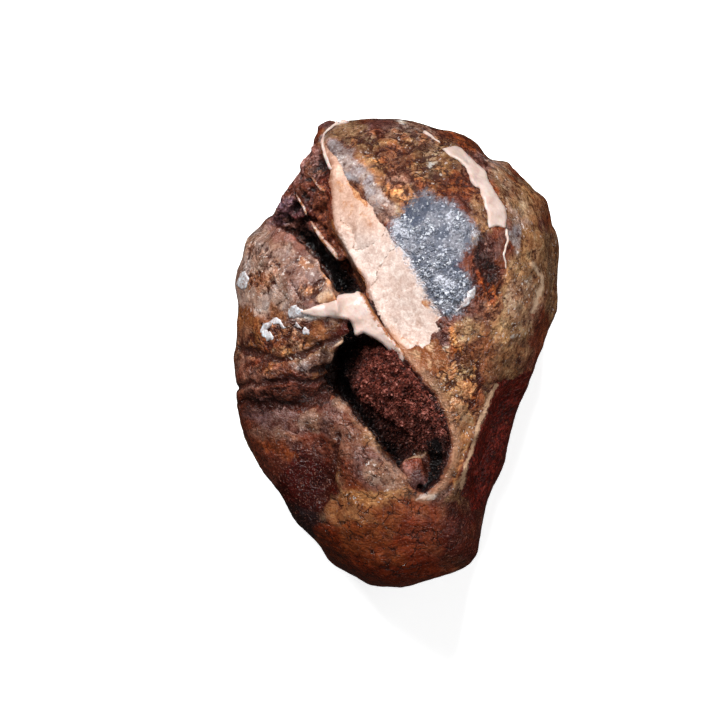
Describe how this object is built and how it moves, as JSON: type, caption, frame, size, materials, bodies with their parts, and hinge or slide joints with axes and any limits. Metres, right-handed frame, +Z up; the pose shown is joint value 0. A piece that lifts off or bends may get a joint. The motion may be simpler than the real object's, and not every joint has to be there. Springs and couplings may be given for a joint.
{
  "type": "baryte specimen",
  "caption": "Egg-sized baryte nodule lying on its back, its broken face up, with a druse-lined hollow, a cream layer, a bridging sheet and thin crystal blades.",
  "frame": {"origin": "below the middle of the bounding box, on the surface that the nodule lies on", "axes": "+Z up, away from that surface and out of the broken face; +Y along the nodule towards its domed end; +X across it, to the right as seen from above with +Y at the top"},
  "size_m": [0.0465, 0.0666, 0.0352],
  "materials": {
    "rind": "waxy honey-brown to grey-brown rind with a fine sparkle, a flat cream layer, blue-grey quartz and cream blades",
    "druse": "dark red-brown velvety crust of very fine crystals"
  },
  "bodies": {
    "root": {"nodule": "rind", "cavity_crust": "druse"}
  },
  "joints": []
}
